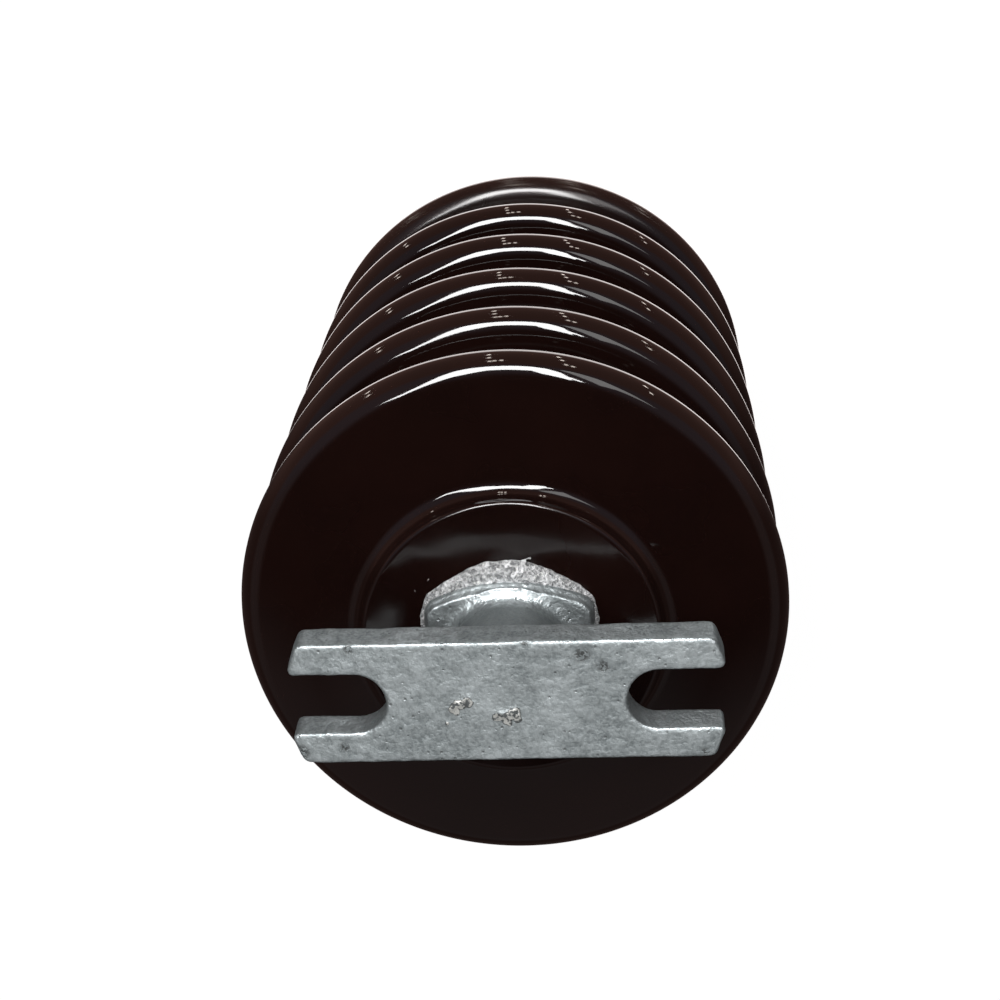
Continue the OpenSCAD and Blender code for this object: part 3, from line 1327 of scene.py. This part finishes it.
WINDOW: list[Point] = [
    (-1.1, -0.75), (-0.85, -0.7), (-0.7, -0.4), (-0.55, 0.1), (-0.4, 0.4), (-0.25, 0.45), (0.35, 0.4),
    (0.5, 0.3), (0.6, 0.0), (0.6, -0.35), (0.7, -0.65), (0.65, -0.75), (0.6, -0.6), (0.55, -0.8),
    (0.35, -0.45), (0.3, -0.15), (-0.1, -0.1), (-0.3, -0.3), (-0.4, -0.35), (-0.85, -0.95),
]
WINDOW_SIDE: list[Point] = [
    (0.65, 0.4), (0.8, 0.45), (1.1, 0.3), (1.3, 0.0), (1.8, -0.5), (1.15, -0.4), (0.9, -0.55), (0.8, -0.15),
]


def emission_material(name: str, radiance: float) -> bpy.types.Material:
    """Make a plain glowing material.

    Args:
        name: The material's name.
        radiance: How bright it is.

    Returns:
        The material.
    """
    material = bpy.data.materials.new(name)
    material.use_nodes = True
    wiring = Wiring(material.node_tree)
    material.node_tree.nodes.remove(material.node_tree.nodes["Principled BSDF"])
    glow = wiring.add("Emission", {"Color": (1.0, 1.0, 1.0, 1.0), "Strength": radiance})
    wiring.feed(material.node_tree.nodes["Material Output"].inputs["Surface"], glow.outputs[0])
    return material


def light_by_mesh(piece: bpy.types.Object, lit: list[bpy.types.Object]) -> None:
    """Turn a glowing mesh into a light that only shows as a mirror image.

    Args:
        piece: The glowing mesh.
        lit: The only pieces that it lights.
    """
    piece.visible_camera = False
    piece.visible_diffuse = False
    piece.visible_shadow = False
    piece.visible_transmission = False
    group = bpy.data.collections.new(f"{piece.name}_lights_only")
    for other in lit:
        group.objects.link(other)
    piece.light_linking.receiver_collection = group


@dataclass(frozen=True)
class Pane:
    """A bright window of any outline, square to one line of sight from the insulator."""

    name: str
    aim: Vector
    outline: list[Point]
    radiance: float
    tilt: float = 54.0
    turn: float = -5.0
    distance: float = 2.0

    def build(self, lit: list[bpy.types.Object]) -> bpy.types.Object:
        """Draw the pane and fill it.

        Args:
            lit: The only pieces that it lights.

        Returns:
            The pane.
        """
        tilt, turn = math.radians(self.tilt), math.radians(self.turn)
        out = Vector((math.sin(tilt) * math.sin(turn), math.sin(tilt) * math.cos(turn), math.cos(tilt)))
        across = Vector((math.cos(turn), -math.sin(turn), 0.0))
        down = out.cross(across)
        if down.z > 0:
            down = -down
        middle = self.aim + out * self.distance
        pane = trace(self.name, [middle + across * a + down * b for a, b in self.outline], closed=True)
        bpy.ops.mesh.edge_face_add()
        bpy.ops.object.mode_set(mode="OBJECT")
        pane.data.materials.append(emission_material(f"{self.name}_glow", self.radiance))
        light_by_mesh(pane, lit)
        return pane


@dataclass(frozen=True)
class MirroredRoom:
    """The room as the glaze mirrors it: dark overhead, warm brown to the sides, white below."""

    aim: Vector
    radius: float = 3.4
    lamps: tuple[tuple[float, float], ...] = (
        (129.0, -8.0), (110.0, -7.0), (91.0, -6.5), (92.0, -5.0), (93.0, -3.0),
        (134.0, 14.5), (116.0, 15.0), (96.0, 16.0), (94.0, 18.0),
        (125.0, 43.0), (104.0, 43.0), (100.0, -44.0), (118.0, -46.0),
    )

    def build(self, lit: list[bpy.types.Object]) -> bpy.types.Object:
        """Blow the room up round the insulator.

        Args:
            lit: The only pieces that mirror it.

        Returns:
            The room.
        """
        deselect_all()
        bpy.ops.mesh.primitive_uv_sphere_add(segments=48, ring_count=24, radius=self.radius)
        room = bpy.context.object
        room.name = "mirrored_room"
        bpy.ops.object.mode_set(mode="EDIT")
        bpy.ops.transform.translate(value=self.aim)
        bpy.ops.object.mode_set(mode="OBJECT")
        material = emission_material("mirrored_room_glow", 1.0)
        wiring = Wiring(material.node_tree)
        place = wiring.add("TexCoord").outputs["Object"]
        way = wiring.add("VectorMath", {0: place, 1: tuple(self.aim)}, operation="SUBTRACT").outputs[0]
        way = wiring.add("VectorMath", {0: way}, operation="NORMALIZE").outputs[0]
        parts = wiring.add("SeparateXYZ", {0: way})
        degree = 180.0 / math.pi
        tilt = wiring.math("MULTIPLY", wiring.math("ARCCOSINE", parts.outputs["Z"]), degree)
        turn = wiring.math("ARCTAN2", parts.outputs["X"], parts.outputs["Y"])
        turn = wiring.math("MULTIPLY", turn, degree)
        front = wiring.spread(parts.outputs["Y"], -0.1, 0.3)
        high = wiring.spread(tilt, 24.0, 48.0)
        before = wiring.mix(high, (0.02, 0.02, 0.02, 1.0), (0.20, 0.20, 0.24, 1.0))
        behind = wiring.mix(wiring.spread(tilt, 36.0, 50.0), (0.01, 0.01, 0.01, 1.0), (0.15, 0.13, 0.13, 1.0))
        overhead = wiring.mix(front, behind, before)
        brown = wiring.mix(front, (0.07, 0.047, 0.043, 1.0), (0.27, 0.155, 0.13, 1.0))
        sides = wiring.mix(wiring.spread(tilt, 66.0, 82.0), overhead, brown)
        below = wiring.mix(wiring.spread(parts.outputs["Z"], -0.895, -0.925), sides, (2.3, 2.1, 2.05, 1.0))
        lamps: Feed = 0.0
        for lamp_tilt, lamp_turn in self.lamps:
            high = wiring.math("COMPARE", tilt, lamp_tilt, 3.0)
            wide = wiring.math("COMPARE", turn, lamp_turn, 0.55)
            lamps = wiring.math("MAXIMUM", lamps, wiring.math("MULTIPLY", high, wide))
        glow = next(node for node in material.node_tree.nodes if node.bl_idname == "ShaderNodeEmission")
        wiring.feed(glow.inputs["Color"], wiring.mix(lamps, below, (12.0, 10.5, 9.5, 1.0)))
        material.cycles.emission_sampling = "NONE"
        room.data.materials.append(material)
        light_by_mesh(room, lit)
        return room


@dataclass
class Studio:
    """A pale floor, soft light and the camera."""

    aim: Vector
    lens: float = 69.145
    eye: tuple[float, float, float] = (0.02676, 0.23436, 0.70715)
    back: tuple[float, float, float] = (0.05717, 0.39638, 0.9163)
    up: tuple[float, float, float] = (0.02405, 0.91699, -0.39818)

    def hang_lights(self, glazed: list[bpy.types.Object], matt: list[bpy.types.Object]) -> None:
        """Hang every light.

        Args:
            glazed: The pieces with a glaze.
            matt: The castings and the grout.
        """
        Pane("window", self.aim, WINDOW, 26.0).build(glazed + matt)
        Pane("window_side", self.aim, WINDOW_SIDE, 3.4).build(glazed)
        Panel("soft_key", 40.0, -15.0, 2.2, 1.8, 1.8, 1.2, glossy=False).build(self.aim)
        grout = [piece for piece in matt if "grout" in piece.name]
        Panel("grout_fill", 50.0, -5.0, 2.0, 1.4, 1.4, 2.3, glossy=False).build(self.aim, grout)
        Panel("overhead", 16.0, 10.0, 2.0, 1.6, 1.2, 2.7).build(self.aim, matt)
        Panel("front_fill", 35.0, 180.0, 2.0, 2.4, 2.0, 0.5).build(self.aim, matt)
        Panel("bounce", 158.0, 15.0, 1.8, 1.8, 1.8, 1.6).build(self.aim, matt)
        MirroredRoom(self.aim).build(glazed)

    def lay_floor(self) -> None:
        """Lay the floor: near white to look at, and left out of mirror images."""
        deselect_all()
        bpy.ops.mesh.primitive_plane_add(size=8.0, location=(0.0, 0.0, 0.0))
        floor = bpy.context.object
        floor.name = "floor"
        bpy.ops.object.mode_set(mode="EDIT")
        bpy.ops.mesh.subdivide(number_cuts=3)
        bpy.ops.object.mode_set(mode="OBJECT")
        material = bpy.data.materials.new("pale_floor")
        material.use_nodes = True
        wiring = Wiring(material.node_tree)
        material.node_tree.nodes.remove(material.node_tree.nodes["Principled BSDF"])
        path = wiring.add("LightPath")
        seen = wiring.add(
            "AddShader",
            {
                0: wiring.add("Emission", {"Color": (1.0, 1.0, 1.0, 1.0), "Strength": 0.95}).outputs[0],
                1: wiring.add("BsdfDiffuse", {"Color": (0.35, 0.35, 0.35, 1.0)}).outputs[0],
            },
        ).outputs[0]
        plain = wiring.add("BsdfDiffuse", {"Color": (0.55, 0.54, 0.53, 1.0)}).outputs[0]
        both = wiring.add("MixShader", {0: path.outputs["Is Camera Ray"], 1: plain, 2: seen}).outputs[0]
        under = wiring.add("NewGeometry").outputs["Backfacing"]
        clear = wiring.add("BsdfTransparent").outputs[0]
        both = wiring.add("MixShader", {0: under, 1: both, 2: clear}).outputs[0]
        wiring.feed(material.node_tree.nodes["Material Output"].inputs["Surface"], both)
        floor.data.materials.append(material)
        floor.visible_glossy = False
        floor.visible_shadow = False

    def paint_room(self) -> None:
        """Paint the room: white to look at, a dim warm room in mirrors."""
        world = bpy.data.worlds.new("studio_room")
        world.use_nodes = True
        bpy.context.scene.world = world
        wiring = Wiring(world.node_tree)
        background = world.node_tree.nodes["Background"]
        path = wiring.add("LightPath")
        way = wiring.add("TexCoord").outputs["Generated"]
        parts = wiring.add("SeparateXYZ", {0: way})
        ceiling = wiring.spread(parts.outputs["Y"], 0.2, 0.95)
        room = wiring.mix(ceiling, (0.08, 0.08, 0.08, 1.0), (0.16, 0.15, 0.145, 1.0))
        colour = wiring.mix(path.outputs["Is Camera Ray"], room, (1.0, 1.0, 1.0, 1.0))
        wiring.feed(background.inputs["Color"], colour)
        background.inputs["Strength"].default_value = 1.0

    def set_camera(self) -> None:
        """Put the camera above one end, looking down the column."""
        data = bpy.data.cameras.new("camera")
        data.lens = self.lens
        data.sensor_width = 36.0
        data.clip_start = 0.01
        camera = bpy.data.objects.new("camera", data)
        bpy.context.scene.collection.objects.link(camera)
        back = Vector(self.back).normalized()
        up = Vector(self.up)
        up = (up - back * up.dot(back)).normalized()
        right = up.cross(back)
        turn = Matrix((right, up, back)).transposed().to_4x4()
        camera.matrix_world = Matrix.Translation(Vector(self.eye)) @ turn
        bpy.context.scene.camera = camera

    def build(self, glazed: list[bpy.types.Object], matt: list[bpy.types.Object]) -> None:
        """Set the whole studio.

        Args:
            glazed: The pieces with a glaze.
            matt: The castings and the grout.
        """
        self.paint_room()
        self.lay_floor()
        self.hang_lights(glazed, matt)
        self.set_camera()
        bpy.context.scene.view_settings.view_transform = "Standard"
        log.info("studio: floor, lights and camera set")


def main() -> None:
    """Build the insulator and the studio, in order."""
    logging.basicConfig(level=logging.INFO, format="%(message)s")
    finishes = Finishes(Effects())
    low, high = (corner.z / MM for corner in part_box("porcelain_body"))
    column = PorcelainColumn(low, high).build(finishes)
    ends = EndJoints(low, high).build(finishes)
    Studio(Vector((0.0, 0.0, 0.5 * (low + high) * MM))).build([column], ends)


if __name__ == "__main__":
    main()
